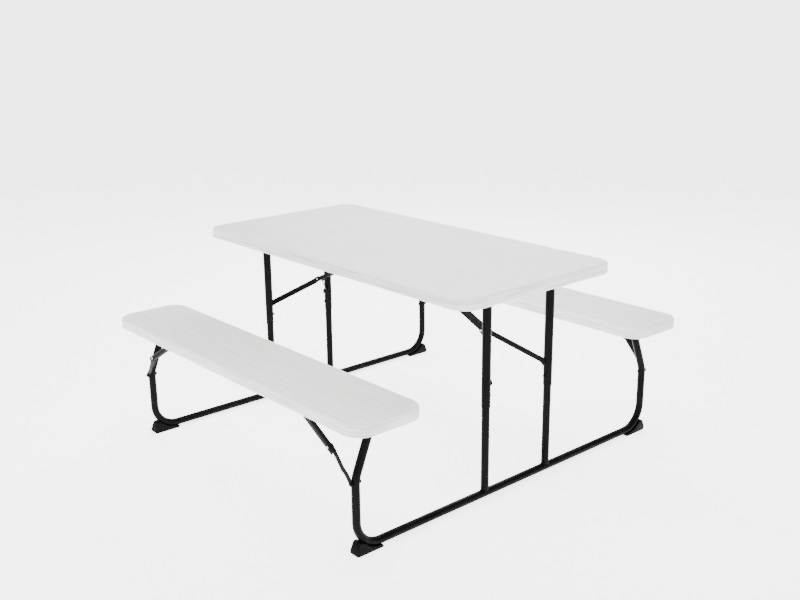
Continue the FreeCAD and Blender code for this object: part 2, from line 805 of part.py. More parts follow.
for side, side_sign in SIDES:
    facing = NO_TURN if side_sign > 0 else HALF_TURN
    lean = facing.multiply(FreeCAD.Rotation(Y_AXIS, link_slope))
    elbow_place = (cell("linkLength"), -LINK_SIDE, 0)
    link = channel(
        cell("linkLength"),
        6,
        cell("linkOverhang"),
        (-LINK_SIDE, LINK_SIDE),
        cell("linkHeight"),
        cell("boltRadius") + cell("pinGap"),
        cylinder("y", cell("boltRadius"), elbow_place, cell("linkWidth")),
    )
    place(link, cell("hangerOffset") * side_sign, 0, HANGER_PIVOT, lean)
    finish_part(link, "centre_link_" + side)

    back = facing.multiply(FreeCAD.Rotation(Y_AXIS, arm_slope + 180))
    rivets = []
    for end, end_sign in ENDS:
        flipped = arm(end_sign * side_sign)
        place(flipped, cell("frameOffset") * side_sign, 0, ARM_PIVOT, back)
        finish_part(flipped, "brace_arm_%s_%s" % (side, end))
        post_y = cell("postOffset") - SLEEVE
        arm_inner = post_y - cell("gap") - cell("barThickness")
        shank = span(arm_inner, post_y + cell("sleeveWall"), end_sign)
        heads = outer_head(cell("rivetHeadHeight"), -end_sign)
        radii = (cell("rivetRadius"), cell("rivetHeadRadius"))
        x = cell("frameOffset") * side_sign
        rivets.append(headed_pin(x, ARM_PIVOT, shank, *radii, *heads))
    finish_part(group(rivets), "arm_pivot_rivets_" + side)


# ---------------------------------------------------------------- bench braces

def brace_bar(sign):
    """The lower brace bar, stepped outwards between the riser and the channel."""
    far = cell("braceLayer") - cell("gap") - cell("barThickness")
    length = cell("barLength")
    step = (cell("barWidth") * 2, cell("barWidth") * 3)
    bored = stepped_strip(cell("barWidth"), length, BAR_NEAR, far, step, sign, cell("boltRadius"))
    head_y = span(far - cell("rivetHeadHeight"), far, sign)
    head = cylinder("y", cell("rivetHeadRadius"), (length, head_y[0], 0), cell("rivetHeadHeight"))
    return fuse([bored, head])


def brace_bracket(x, sign):
    """A folded bracket under a bench: a base plate with two cheeks round the channel."""
    inner_y = cell("braceLayer") - cell("bracketClearance")
    outer_y = cell("braceLayer") + cell("channelWidth") + cell("bracketClearance")
    cheek = cell("sheetThickness")
    base = cell("bracketPlate")
    x_range = (x - cell("bracketHalfLength"), x + cell("bracketHalfLength"))
    z_range = (cell("bracePivotHeight") - cell("hangerSkirt"), BRACKET_TOP)
    plates = [
        box(x_range, span(inner_y - cheek, inner_y, sign), z_range),
        box(x_range, span(outer_y, outer_y + cheek, sign), z_range),
        box(x_range, span(inner_y - cheek, outer_y + cheek, sign), (BRACKET_TOP - base, BRACKET_TOP)),
    ]
    middle = (inner_y + outer_y) / 2 * sign
    hole = round_notch(x, middle, cell("bracePivotHeight"), cell("rivetRadius"))
    pin_y = span(inner_y - cheek, outer_y + cheek, sign)
    radii = (cell("rivetRadius"), cell("rivetHeadRadius"))
    heads = (cell("bracketRivetHead"), cell("bracketRivetHead"))
    pin = headed_pin(x, cell("bracePivotHeight"), pin_y, *radii, *heads)
    return cut(fuse(plates), [hole]), pin


brackets = []
bracket_rivets = []
BRACKET_TOP = cell("benchHeight") - cell("plateThickness") - cell("sheetThickness")
for side, side_sign in SIDES:
    facing = NO_TURN if side_sign > 0 else HALF_TURN
    lean = facing.multiply(FreeCAD.Rotation(Y_AXIS, channel_slope))
    back = facing.multiply(FreeCAD.Rotation(Y_AXIS, bar_slope + 180))
    for end, end_sign in ENDS:
        local_sign = end_sign * side_sign
        outer_y = cell("braceLayer") + cell("channelWidth")
        channel_y = span(cell("braceLayer"), outer_y, local_sign)
        rivet_y = span(outer_y, outer_y + cell("rivetHeadHeight"), local_sign)
        rivet_place = (cell("channelLength"), rivet_y[0], 0)
        link = channel(
            cell("channelLength"),
            8,
            cell("channelOverhang"),
            channel_y,
            cell("channelHeight"),
            cell("rivetRadius") + cell("pinGap"),
            cylinder("y", cell("rivetHeadRadius"), rivet_place, cell("rivetHeadHeight")),
        )
        place(link, cell("bracePivotOffset") * side_sign, 0, cell("bracePivotHeight"), lean)
        finish_part(link, "bench_channel_%s_%s" % (side, end))

        bar = brace_bar(local_sign)
        place(bar, cell("frameOffset") * side_sign, 0, cell("braceBoltHeight"), back)
        finish_part(bar, "bench_bar_%s_%s" % (side, end))

        bracket, pin = brace_bracket(cell("bracePivotOffset") * side_sign, end_sign)
        brackets.append(bracket)
        bracket_rivets.append(pin)
finish_part(group(brackets), "bench_brace_brackets")
finish_part(group(bracket_rivets), "bracket_rivets")


# ---------------------------------------------------------------- check and write

doc.recompute()
for item in doc.Objects:
    failed = [state for state in item.State if state in ("Invalid", "Error")]
    if failed:
        raise RuntimeError("%s (%s) failed: %s" % (item.Name, item.Label, failed))
os.makedirs("parts", exist_ok=True)
for part in sub_parts:
    if part.Shape.isNull() or not part.Shape.isValid():
        raise RuntimeError("the shape of %s is empty or invalid" % part.Label)
labels = [part.Label for part in sub_parts]
if len(set(labels)) != len(labels):
    raise RuntimeError("two sub-parts share a label")
for part in sub_parts:
    part.Shape.exportStep(os.path.join("parts", part.Label + ".step"))
print(len(sub_parts), "sub-parts written")
print("table brace: arm %.2f, slopes %.3f and %.3f degrees" % (arm_length, link_slope, arm_slope))
print("bench brace: bar %.2f, slopes %.3f and %.3f degrees" % (bar_length, channel_slope, bar_slope))
print("fold angle %.3f degrees" % math.degrees(FOLD_ANGLE))
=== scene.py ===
import json
import math

import bmesh
import bpy
import numpy as np
from mathutils import Matrix, Quaternion, Vector, noise

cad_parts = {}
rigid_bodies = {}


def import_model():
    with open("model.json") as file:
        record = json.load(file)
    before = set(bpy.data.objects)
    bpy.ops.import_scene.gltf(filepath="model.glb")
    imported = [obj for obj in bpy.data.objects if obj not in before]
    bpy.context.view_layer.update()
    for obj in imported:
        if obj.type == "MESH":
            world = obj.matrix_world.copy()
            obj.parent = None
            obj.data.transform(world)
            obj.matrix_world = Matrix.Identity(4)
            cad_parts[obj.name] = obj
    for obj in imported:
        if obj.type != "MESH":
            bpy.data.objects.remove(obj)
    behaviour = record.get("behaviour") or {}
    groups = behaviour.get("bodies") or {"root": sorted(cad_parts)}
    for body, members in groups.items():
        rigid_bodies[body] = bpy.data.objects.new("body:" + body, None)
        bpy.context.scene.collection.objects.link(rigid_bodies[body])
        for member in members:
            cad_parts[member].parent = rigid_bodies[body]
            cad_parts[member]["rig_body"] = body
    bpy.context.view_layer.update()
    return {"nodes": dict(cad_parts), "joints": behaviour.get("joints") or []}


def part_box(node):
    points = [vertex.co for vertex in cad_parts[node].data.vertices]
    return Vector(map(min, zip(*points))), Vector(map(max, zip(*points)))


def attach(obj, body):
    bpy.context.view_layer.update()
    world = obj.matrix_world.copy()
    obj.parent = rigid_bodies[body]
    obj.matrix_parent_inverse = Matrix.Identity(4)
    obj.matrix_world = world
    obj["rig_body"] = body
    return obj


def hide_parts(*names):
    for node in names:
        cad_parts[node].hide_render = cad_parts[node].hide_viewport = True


# Folding picnic table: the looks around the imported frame.  Metres, +Z up, X along the panels.

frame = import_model()
JOINTS = {joint["name"]: joint for joint in frame["joints"]}

Y_AXIS = Vector((0, 1, 0))
Z_AXIS = Vector((0, 0, 1))
SIDES = (("left", -1), ("right", 1))
ENDS = (("front", -1), ("rear", 1))
SHARP_ANGLE = 32.0


# ---------------------------------------------------------------- material helpers

class Graph:
    """A material's node tree with short calls for the nodes that these materials use."""

    def __init__(self, name):
        self.material = bpy.data.materials.new(name)
        self.material.use_nodes = True
        self.tree = self.material.node_tree
        self.shader = self.tree.nodes["Principled BSDF"]
        self.coords = self.tree.nodes.new("ShaderNodeTexCoord").outputs["Object"]

    def node(self, kind, inputs=(), **settings):
        made = self.tree.nodes.new("ShaderNode" + kind)
        for key, value in settings.items():
            setattr(made, key, value)
        for key, value in dict(inputs).items():
            if isinstance(value, bpy.types.NodeSocket):
                self.tree.links.new(value, made.inputs[key])
            else:
                made.inputs[key].default_value = value
        return made

    def stretched(self, scale):
        return self.node("Mapping", {"Vector": self.coords, "Scale": scale}).outputs["Vector"]

    def noise(self, scale, detail=4.0, stretch=None, distortion=0.0):
        vector = self.stretched(stretch) if stretch else self.coords
        values = {"Vector": vector, "Scale": scale, "Detail": detail, "Distortion": distortion}
        return self.node("TexNoise", values).outputs["Fac"]

    def remap(self, value, low, high, start, end):
        inputs = {"Value": value, "From Min": low, "From Max": high, "To Min": start, "To Max": end}
        return self.node("MapRange", inputs).outputs["Result"]

    def math(self, operation, first, second):
        return self.node("Math", {0: first, 1: second}, operation=operation).outputs["Value"]

    def mix(self, factor, first, second):
        made = self.node("Mix", data_type="RGBA")
        for index, value in ((0, factor), (6, first), (7, second)):
            if isinstance(value, bpy.types.NodeSocket):
                self.tree.links.new(value, made.inputs[index])
            else:
                made.inputs[index].default_value = value
        return made.outputs[2]

    def blend(self, factor, first, second):
        return self.node("Mix", {"Factor": factor, "A": first, "B": second}).outputs["Result"]

    def bump(self, height, distance, normal=None, strength=1.0):
        inputs = {"Height": height, "Distance": distance, "Strength": strength}
        if normal is not None:
            inputs["Normal"] = normal
        return self.node("Bump", inputs).outputs["Normal"]

    def drive(self, socket, value):
        self.tree.links.new(value, self.shader.inputs[socket])

    def constant(self, socket, value):
        self.shader.inputs[socket].default_value = value


def panel_plastic():
    """Off-white moulded polyethylene: wood grain along the top and round the rim, fine pebble, and a
    painted highlight in a paler colour along the rounded edges.
    """
    g = Graph("panel_plastic")
    normal = g.node("NewGeometry").outputs["Normal"]
    upright = g.node("SeparateXYZ", {"Vector": normal}).outputs["Z"]
    slant = g.math("ABSOLUTE", upright, 0.0)
    on_top = g.remap(slant, 0.55, 0.90, 0.0, 1.0)
    top_streaks = g.noise(7.0, 6.0, stretch=(1.0, 13.0, 1.0), distortion=0.4)
    rim_streaks = g.noise(3.0, 5.0, stretch=(2.2, 2.2, 64.0), distortion=0.25)
    streaks = g.blend(on_top, rim_streaks, top_streaks)
    fibres = g.noise(30.0, 5.0, stretch=(1.0, 18.0, 5.0), distortion=0.2)
    pebble = g.noise(900.0, 2.0)
    clouds = g.noise(2.2, 2.0)
    scuffs = g.noise(60.0, 8.0, distortion=1.4)
    cloudy = g.remap(clouds, 0.35, 0.65, 0.0, 1.0)
    tint = g.mix(cloudy, (0.735, 0.735, 0.718, 1), (0.765, 0.765, 0.750, 1))
    depth = g.blend(on_top, 0.95, 0.34)
    grain = g.math("MULTIPLY", g.remap(streaks, 0.46, 0.60, 0.0, 1.0), depth)
    grained = g.mix(grain, tint, (0.540, 0.538, 0.520, 1))
    # Painted highlight: faces tilted between the top and the rim (the rounded edges) are given a paler
    # colour, so they read as a bright band.
    rising = g.remap(slant, 0.25, 0.55, 0.0, 1.0)
    painted_edge_highlight = g.math("MULTIPLY", rising, g.remap(slant, 0.90, 0.985, 1.0, 0.0))
    g.drive("Base Color", g.mix(painted_edge_highlight, grained, (0.900, 0.900, 0.888, 1)))
    rough = g.remap(scuffs, 0.35, 0.7, 0.36, 0.46)
    g.drive("Roughness", g.math("ADD", rough, g.remap(fibres, 0.3, 0.7, -0.03, 0.05)))
    coarse = g.bump(streaks, 0.0012, strength=0.6)
    fine = g.bump(fibres, 0.0005, coarse, 0.5)
    g.drive("Normal", g.bump(pebble, 0.00012, fine, 0.5))
    g.constant("Specular IOR Level", 0.45)
    g.constant("Subsurface Weight", 0.05)
    g.constant("Subsurface Radius", (0.006, 0.005, 0.004))
    return g.material


def powder_coat():
    """Black powder coat on steel: orange peel, a faintly clouded tint and rubbed marks."""
    g = Graph("powder_coat")
    peel = g.noise(620.0, 3.0)
    rubs = g.noise(38.0, 9.0, stretch=(1.0, 1.0, 0.25), distortion=1.1)
    cloud = g.noise(7.0, 3.0)
    mark = g.remap(rubs, 0.62, 0.74, 0.0, 1.0)
    cloudy = g.remap(cloud, 0.3, 0.7, 0.0, 1.0)
    tint = g.mix(cloudy, (0.0022, 0.0022, 0.0024, 1), (0.0040, 0.0040, 0.0042, 1))
    g.drive("Base Color", g.mix(g.math("MULTIPLY", mark, 0.3), tint, (0.012, 0.012, 0.0122, 1)))
    rough = g.remap(cloud, 0.3, 0.7, 0.20, 0.27)
    g.drive("Roughness", g.math("ADD", rough, g.math("MULTIPLY", mark, 0.10)))
    g.drive("Normal", g.bump(peel, 0.00006, strength=0.2))
    g.constant("Specular IOR Level", 0.025)
    return g.material


def moulded_black():
    """Black moulded plastic for feet and plugs: matte, finely textured, paler where scuffed."""
    g = Graph("moulded_black")
    grain = g.noise(1100.0, 2.0)
    scrape = g.noise(90.0, 8.0, stretch=(0.5, 0.5, 2.0), distortion=1.0)
    worn = g.remap(scrape, 0.6, 0.78, 0.0, 1.0)
    scuffed = g.math("MULTIPLY", worn, 0.4)
    g.drive("Base Color", g.mix(scuffed, (0.003, 0.003, 0.0032, 1), (0.014, 0.014, 0.014, 1)))
    g.drive("Roughness", g.remap(scrape, 0.3, 0.75, 0.46, 0.66))
    g.drive("Normal", g.bump(grain, 0.00016, strength=0.5))
    g.constant("Specular IOR Level", 0.03)
    return g.material


def zinc_steel():
    """Bright zinc-plated steel for the elbow rivets, panel screws and springs."""
    g = Graph("zinc_steel")
    cloud = g.noise(160.0, 5.0)
    lathe = g.noise(1500.0, 2.0, stretch=(1.0, 0.15, 1.0))
    g.drive("Base Color", g.mix(cloud, (0.52, 0.53, 0.54, 1), (0.70, 0.70, 0.69, 1)))
    g.drive("Roughness", g.remap(cloud, 0.3, 0.7, 0.24, 0.42))
    g.drive("Normal", g.bump(lathe, 0.00006, strength=0.4))
    g.constant("Metallic", 1.0)
    return g.material


PLASTIC = panel_plastic()
COAT = powder_coat()
MOULDED = moulded_black()
ZINC = zinc_steel()


# ---------------------------------------------------------------- mesh helpers

def add_piece(name, verts, faces, material, body, replaces=(), smooth_angle=SHARP_ANGLE):
    """Make a smooth-shaded mesh object, give it its material and hang it on its body."""
    mesh = bpy.data.meshes.new(name)
    mesh.from_pydata([tuple(v) for v in verts], [], [tuple(f) for f in faces])
    return finish_piece(name, mesh, material, body, replaces, smooth_angle)


def finish_piece(name, mesh, material, body, replaces=(), smooth_angle=SHARP_ANGLE):
    """Clean a mesh, shade it and make it a piece that rides on its body."""
    tidy = bmesh.new()
    tidy.from_mesh(mesh)
    bmesh.ops.remove_doubles(tidy, verts=tidy.verts, dist=1e-7)
    bmesh.ops.recalc_face_normals(tidy, faces=tidy.faces)
    tidy.to_mesh(mesh)
    tidy.free()
    mesh.shade_smooth()
    mesh.set_sharp_from_angle(angle=math.radians(smooth_angle))
    mesh.materials.append(material)
    piece = bpy.data.objects.new(name, mesh)
    bpy.context.scene.collection.objects.link(piece)
    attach(piece, body)
    if replaces:
        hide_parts(*replaces)
    return piece


class Shape:
    """Vertices and faces gathered from several simple shapes into one piece."""

    def __init__(self):
        self.verts = []
        self.faces = []

    def rings(self, rings, closed_ends=True, loop=False):
        """Quads between successive rings of equal length, with n-gon ends if they are closed."""
        base = len(self.verts)
        count = len(rings[0])
        for ring in rings:
            self.verts += [Vector(v) for v in ring]
        steps = len(rings) if loop else len(rings) - 1
        for i in range(steps):
            first = base + i * count
            second = base + ((i + 1) % len(rings)) * count
            for j in range(count):
                k = (j + 1) % count
                self.faces.append([first + j, first + k, second + k, second + j])
        if closed_ends and not loop:
            self.faces.append([base + j for j in range(count)])
            self.faces.append([base + (len(rings) - 1) * count + j for j in range(count)])

    def piece(self, name, material, body, replaces=(), smooth_angle=SHARP_ANGLE):
        return add_piece(name, self.verts, self.faces, material, body, replaces, smooth_angle)


def round_points(centre, across, other, radius, count):
    """Points round the circle that two square unit vectors span."""
    turn = 2 * math.pi / count
    angles = [i * turn for i in range(count)]
    return [centre + radius * (math.cos(a) * across + math.sin(a) * other) for a in angles]


def circle(centre, normal, radius, count=40):
    """Points round a circle whose plane is square to the normal."""
    normal = normal.normalized()
    across = normal.orthogonal().normalized()
    return round_points(centre, across, normal.cross(across), radius, count)


def sweep_rings(path, radius, count):
    """One ring of points per path point, carried along without twist."""
    rings = []
    tangents = []
    for i in range(len(path)):
        before = path[max(i - 1, 0)]
        after = path[min(i + 1, len(path) - 1)]
        tangents.append((after - before).normalized())
    across = tangents[0].orthogonal().normalized()
    for i, point in enumerate(path):
        if i:
            across = tangents[i - 1].rotation_difference(tangents[i]) @ across
        rings.append(round_points(point, across, tangents[i].cross(across), radius, count))
    return rings


TUBE_LIP = 0.0004


def tube(shape, path, outer, inner, count=40):
    """A hollow tube along a path, with its end faces slightly rounded."""
    lip = min(TUBE_LIP, (outer - inner) / 3)
    inward = (path[1] - path[0]).normalized() * lip
    backward = (path[-2] - path[-1]).normalized() * lip
    run = [path[0] + inward] + path[1:-1] + [path[-1] + backward]
    outside = sweep_rings(run, outer, count)
    inside = sweep_rings(run, inner, count)

    def end_ring(ring, centre, shift, scale):
        return [centre + (point - centre) * scale - shift for point in ring]

    shrink = (outer - lip) / outer
    widen = (inner + lip) / inner
    loop = [end_ring(inside[0], run[0], inward, widen), end_ring(outside[0], run[0], inward, shrink)]
    loop += outside
    loop += [end_ring(outside[-1], run[-1], backward, shrink)]
    loop += [end_ring(inside[-1], run[-1], backward, widen)]
    shape.rings(loop + inside[::-1], loop=True)


LEAST_RADIUS = 1e-6


def lathe(shape, origin, axis, profile, count):
    """Turn a profile of (radius, height) points about an axis; zero radii close the ends."""
    axis = axis.normalized()
    rings = []
    for radius, height in profile:
        rings.append(circle(origin + axis * height, axis, max(radius, LEAST_RADIUS), count))
    shape.rings(rings)


def lathe_loop(shape, origin, axis, profile):
    """A turned ring whose profile is a closed loop that never touches the axis."""
    rings = [circle(origin + axis * height, axis, radius) for radius, height in profile]
    shape.rings(rings, loop=True)


def quarter(steps):
    """The angles of a quarter turn in equal steps, without its start."""
    return [math.radians(90 * k / steps) for k in range(1, steps + 1)]


def rounded_run(corners, radii, steps=14):
    """Points along straight runs joined by tangent arcs at the inner corners."""
    points = [corners[0]]
    for i in range(1, len(corners) - 1):
        before = (corners[i - 1] - corners[i]).normalized()
        after = (corners[i + 1] - corners[i]).normalized()
        turn = math.pi - before.angle(after)
        radius = radii[i - 1]
        centre = corners[i] + (before + after).normalized() * (radius / math.cos(turn / 2))
        entry = corners[i] + before * (radius * math.tan(turn / 2)) - centre
        axis = before.cross(after).normalized() * -1
        points += [centre + Quaternion(axis, turn * k / steps) @ entry for k in range(steps + 1)]
    return points + [corners[-1]]


def straight_path(start, end, parts):
    """Evenly spaced points on a straight line, both ends included."""
    return [start.lerp(end, i / parts) for i in range(parts + 1)]


WELD_BEAD = 0.0021
WELD_POINTS = 72
WELD_SIDES = 10
COARSE_RIPPLE = 0.10
FINE_RIPPLE = 0.06
TANGENT_SHARE = 0.995


def saddle_weld(shape, origin, axis, branch_radius, main_radius):
    """A rippled weld bead where a branch tube along `axis` meets a main tube along Y.

    origin lies on the main tube's axis; the bead follows the curve where the two tubes meet.
    """
    side = Y_AXIS
    across = axis.cross(side).normalized()
    along = across.cross(axis).normalized()
    curve = []
    for i in range(WELD_POINTS):
        turn = 2 * math.pi * i / WELD_POINTS
        offset = branch_radius * (math.cos(turn) * across + math.sin(turn) * along)
        sideways = min(abs(offset.dot(across)), main_radius * TANGENT_SHARE)
        rise = math.sqrt(main_radius * main_radius - sideways * sideways)
        lean = axis.dot(side)
        square = math.sqrt(1 - lean * lean)
        curve.append(origin + offset + axis * (rise / square))
    rings = []
    for i, point in enumerate(curve):
        tangent = (curve[(i + 1) % WELD_POINTS] - curve[i - 1]).normalized()
        swell = COARSE_RIPPLE * math.sin(i * math.pi / 1.5) + FINE_RIPPLE * math.sin(i * 0.9 + 1)
        outward = (point - origin - axis * (point - origin).dot(axis)).normalized()
        upward = tangent.cross(outward).normalized()
        rings.append(round_points(point, outward, upward, WELD_BEAD * (1 + swell), WELD_SIDES))
    shape.rings(rings, loop=True)


# ---------------------------------------------------------------- moulded panels

GRID_X = 0.007
GRID_Y = 0.00483
DIMPLE_PITCH = (0.049, 0.029)
DIMPLE_SIZE = (0.0145, 0.0062)
DIMPLE_DEPTH = 0.0065
GROOVE_HALF = 0.0034
GROOVE_DEPTH = 0.0022
GROOVE_REACH = 1.6
GROOVE_STEPS = (-1.6, -1.0, -0.5, 0.0, 0.5, 1.0, 1.6)
ROW_SPACE = 0.0015
GROOVE_FADE = 0.010
PLANK_SINK = 0.0012
CROWN = 0.0005
BAND = 0.020
CEILING = 0.018
DIMPLE_EDGE = 0.004
DIMPLE_FADE = 0.006

# The rim's section, as insets from its outermost line and heights.  First the shoulder, from the
# planks up and over, as (inset, drop below the top), then the numbers of the turns that follow it.
SHOULDER = (
    (0.0178, PLANK_SINK * 1.05),
    (0.0160, PLANK_SINK * 0.6),
    (0.0140, 0.00008),
    (0.0122, 0.0),
    (0.0104, 0.00025),
)
EDGE_INSET = 0.0004
EDGE_DROP = 0.0006
EDGE_WIDTH = 0.0088
EDGE_HEIGHT = 0.0082
EDGE_GAP = 0.0012
RIM_INSET = 0.0002
RIM_LAYERS = 20
RIM_WAVE = 0.00060
HEEL_WIDTH = 0.0032
HEEL_HEIGHT = 0.0034
SOLE_INSET = 0.0125
SOLE_TURN = 0.0028
WALL_INSET = 0.0158
CEILING_TURN = 0.004

# The rim's grain: how fast its bends and its plies change along the rim, up it and between panels.
BEND_RATES = (2.1, 9.0, 3)
PLY_RATES = (7.0, 420.0, 5)
BEND_REACH = 0.012


def smooth(value):
    value = np.clip(value, 0.0, 1.0)
    return value * value * (3 - 2 * value)


def panel_rows(half, corner, grooves):
    """Grid rows across the panel: even rows, close ones at each groove and along the corner arcs."""
    flat = half - corner
    count = int(round(2 * flat / GRID_Y))
    rows = [-flat + 2 * flat * i / count for i in range(count + 1)]
    for groove in grooves:
        rows = [y for y in rows if abs(y - groove) > GROOVE_HALF * GROOVE_REACH + ROW_SPACE]
        rows += [groove + GROOVE_HALF * step for step in GROOVE_STEPS]
    arc = [flat + corner * math.sin(angle) for angle in quarter(9)]
    return np.array(sorted(rows + arc + [-y for y in arc]))


def moulded_panel(name, node, body, corner, groove_shares):
    """A hollow-moulded panel: planked top, grained rim and a recessed, dimpled underside."""
    low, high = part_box(node)
    centre = (low + high) / 2
    half_x = (high.x - low.x) / 2
    half_y = (high.y - low.y) / 2
    top, bottom = high.z, low.z
    inner_x = half_x - BAND
    inner_y = half_y - BAND
    radius = corner - BAND
    grooves = [share * 2 * half_y for share in groove_shares]
    rows = panel_rows(inner_y, radius, grooves)
    columns = np.linspace(-1, 1, int(round(2 * inner_x / GRID_X)) + 1)
    beyond = np.clip(np.abs(rows) - (inner_y - radius), 0, radius)
    reach = inner_x - radius + np.sqrt(np.maximum(radius ** 2 - beyond ** 2, 0))
    xs = columns[None, :] * reach[:, None]
    ys = np.repeat(rows[:, None], len(columns), axis=1)

    edge = np.minimum(reach[:, None] - np.abs(xs), inner_y - np.abs(ys))
    fade = smooth(edge / GROOVE_FADE)
    top_z = np.full(xs.shape, top - PLANK_SINK)
    for groove in grooves:
        profile = smooth(1 - np.abs(ys - groove) / (GROOVE_HALF * GROOVE_REACH))
        top_z -= GROOVE_DEPTH * profile * fade
    top_z -= CROWN * fade * smooth((half_y - np.abs(ys)) / half_y)

    ceiling = bottom + CEILING
    pitch_x, pitch_y = DIMPLE_PITCH
    row_index = np.round(ys / pitch_y)
    shifted = xs + np.where(np.mod(row_index, 2) == 0, 0, pitch_x / 2)
    dx = (shifted - np.round(shifted / pitch_x) * pitch_x) / DIMPLE_SIZE[0]
    dy = (ys - row_index * pitch_y) / DIMPLE_SIZE[1]
    dimple = smooth(1.55 - 1.1 * np.power(np.abs(dx) ** 3 + np.abs(dy) ** 3, 1 / 3))
    clear = smooth((edge - DIMPLE_EDGE) / DIMPLE_FADE)
    under_z = ceiling + DIMPLE_DEPTH * dimple * clear

    shape = Shape()
    count_y, count_x = xs.shape

    def add_grid(heights):
        base = len(shape.verts)
        flat = np.stack([xs + centre.x, ys + centre.y, heights], axis=-1).reshape(-1, 3)
        shape.verts += [Vector(v) for v in flat.tolist()]
        for j in range(count_y - 1):
            for i in range(count_x - 1):
                a = base + j * count_x + i
                shape.faces.append([a, a + 1, a + 1 + count_x, a + count_x])

    add_grid(top_z)
    add_grid(under_z)

    border = [(j, count_x - 1) for j in range(count_y)]
    border += [(count_y - 1, i) for i in range(count_x - 2, -1, -1)]
    border += [(j, 0) for j in range(count_y - 2, -1, -1)]
    border += [(0, i) for i in range(1, count_x - 1)]
    rim = []
    for j, i in border:
        x, y = xs[j, i], ys[j, i]
        cx = math.copysign(min(abs(x), inner_x - radius), x)
        cy = math.copysign(min(abs(y), inner_y - radius), y)
        out = Vector((x - cx, y - cy, 0))
        place = Vector((x + centre.x, y + centre.y, 0))
        rim.append((place, out.normalized(), top_z[j, i], under_z[j, i]))
    lengths = [0.0]
    for here, after in zip(rim, rim[1:]):
        lengths.append(lengths[-1] + (after[0] - here[0]).length)

    def ring(inset, z, wave=0.0):
        made = []
        for (point, out, _, _), run in zip(rim, lengths):
            shift = 0.0
            if wave:
                along, up, panel = BEND_RATES
                bend = noise.noise(Vector((run * along, z * up, centre.y * panel)))
                along, up, panel = PLY_RATES
                bent_z = z + bend * BEND_REACH
                ply = noise.noise(Vector((run * along, bent_z * up, centre.y * panel)))
                shift = wave * ply
            outward = BAND - inset - max(shift, -wave) * 0.5 - wave * 0.5
            made.append(point + out * outward + Vector((0, 0, z)))
        return made

    rings = [[point + Vector((0, 0, z)) for point, _, z, _ in rim]]
    rings += [ring(inset, top - drop) for inset, drop in SHOULDER]
    for angle in quarter(9):
        inset = EDGE_WIDTH + EDGE_INSET - EDGE_WIDTH * math.sin(angle)
        rings.append(ring(inset, top - EDGE_DROP - EDGE_HEIGHT * (1 - math.cos(angle))))
    rim_top = top - EDGE_DROP - EDGE_HEIGHT - EDGE_GAP
    rim_low = bottom + HEEL_HEIGHT
    for k in range(RIM_LAYERS + 1):
        z = rim_top + (rim_low - rim_top) * k / RIM_LAYERS
        rings.append(ring(RIM_INSET, z, wave=RIM_WAVE))
    for angle in quarter(5):
        inset = RIM_INSET + HEEL_WIDTH * (1 - math.cos(angle))
        rings.append(ring(inset, rim_low - HEEL_HEIGHT * math.sin(angle)))
    rings.append(ring(SOLE_INSET, bottom))
    for angle in quarter(4):
        inset = SOLE_INSET + SOLE_TURN * math.sin(angle)
        rings.append(ring(inset, bottom + SOLE_TURN * (1 - math.cos(angle))))
    rings.append(ring(WALL_INSET, ceiling - CEILING_TURN))
    for angle in quarter(4)[:-1]:
        inset = WALL_INSET + CEILING_TURN * (1 - math.cos(angle))
        rings.append(ring(inset, ceiling - CEILING_TURN * (1 - math.sin(angle))))
    rings.append([point + Vector((0, 0, z)) for point, _, _, z in rim])
    shape.rings(rings, closed_ends=False)
    return shape.piece(name, PLASTIC, body, (node,), smooth_angle=50)


CORNER_RADIUS = 0.060
PLANK_JOINTS = (-0.3, -0.1, 0.1, 0.3)
moulded_panel("table_top_shell", "table_panel", "table_top", CORNER_RADIUS, PLANK_JOINTS)
for end, _ in ENDS:
    moulded_panel("bench_shell_" + end, "bench_panel_" + end, "benches", CORNER_RADIUS, ())


# ---------------------------------------------------------------- end frames

TUBE_WALL = 0.0015
SLEEVE_WALL = 0.0012
RAIL_SHEET = 0.002
BAR_GAP = 0.0005
RISER_JOIN = 0.7
POST_JOIN = 0.55
HOLE_RADIUS = 0.0043
CUTTER_LENGTH = 0.010
ROUND_SIDES = 28
PLUG_BORE = 0.0051
PLUG_FLANGE = 0.0010
PLUG_FACE_INSET = 0.0009
PLUG_SIDE_INSET = 0.0004
PLUG_SIDE_HEIGHT = 0.0006
LOWER_BEND = 0.085
UPPER_BEND = 0.100
KNEE = 0.236
LEAN = 0.064


def frame_numbers(side):
    """Places of one end frame, read from the boxes of its CAD nodes."""
    low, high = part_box("base_tube_" + side)
    radius = (high.x - low.x) / 2
    pivot_low, pivot_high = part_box("bench_pivot_bars_" + side)
    post_low, post_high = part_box("inner_post_%s_rear" % side)
    sleeve_low, sleeve_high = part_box("outer_post_%s_rear" % side)
    bar_low, bar_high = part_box("table_pivot_bar_" + side)
    return {
        "x": (low.x + high.x) / 2,
        "radius": radius,
        "base_z": low.z + radius,
        "riser_y": high.y - radius,
        "bench_pivot": (pivot_low.z + pivot_high.z) / 2,
        "post_y": (post_low.y + post_high.y) / 2,
        "post_top": post_high.z,
        "sleeve": (sleeve_high.x - sleeve_low.x) / 2,
        "sleeve_low": sleeve_low.z,
        "table_pivot": (bar_low.z + bar_high.z) / 2,
        "table_bar": bar_high.y,
    }


def bench_bar_span(end_sign):
    """The Y range of a bench pivot bar, between the inner faces of the bench's two rails."""
    name = "rear" if end_sign > 0 else "front"
    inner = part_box("bench_rail_%s_inner" % name)
    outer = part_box("bench_rail_%s_outer" % name)
    if end_sign > 0:
        return inner[0].y + RAIL_SHEET + BAR_GAP, outer[1].y - RAIL_SHEET - BAR_GAP
    return outer[0].y + RAIL_SHEET + BAR_GAP, inner[1].y - RAIL_SHEET - BAR_GAP


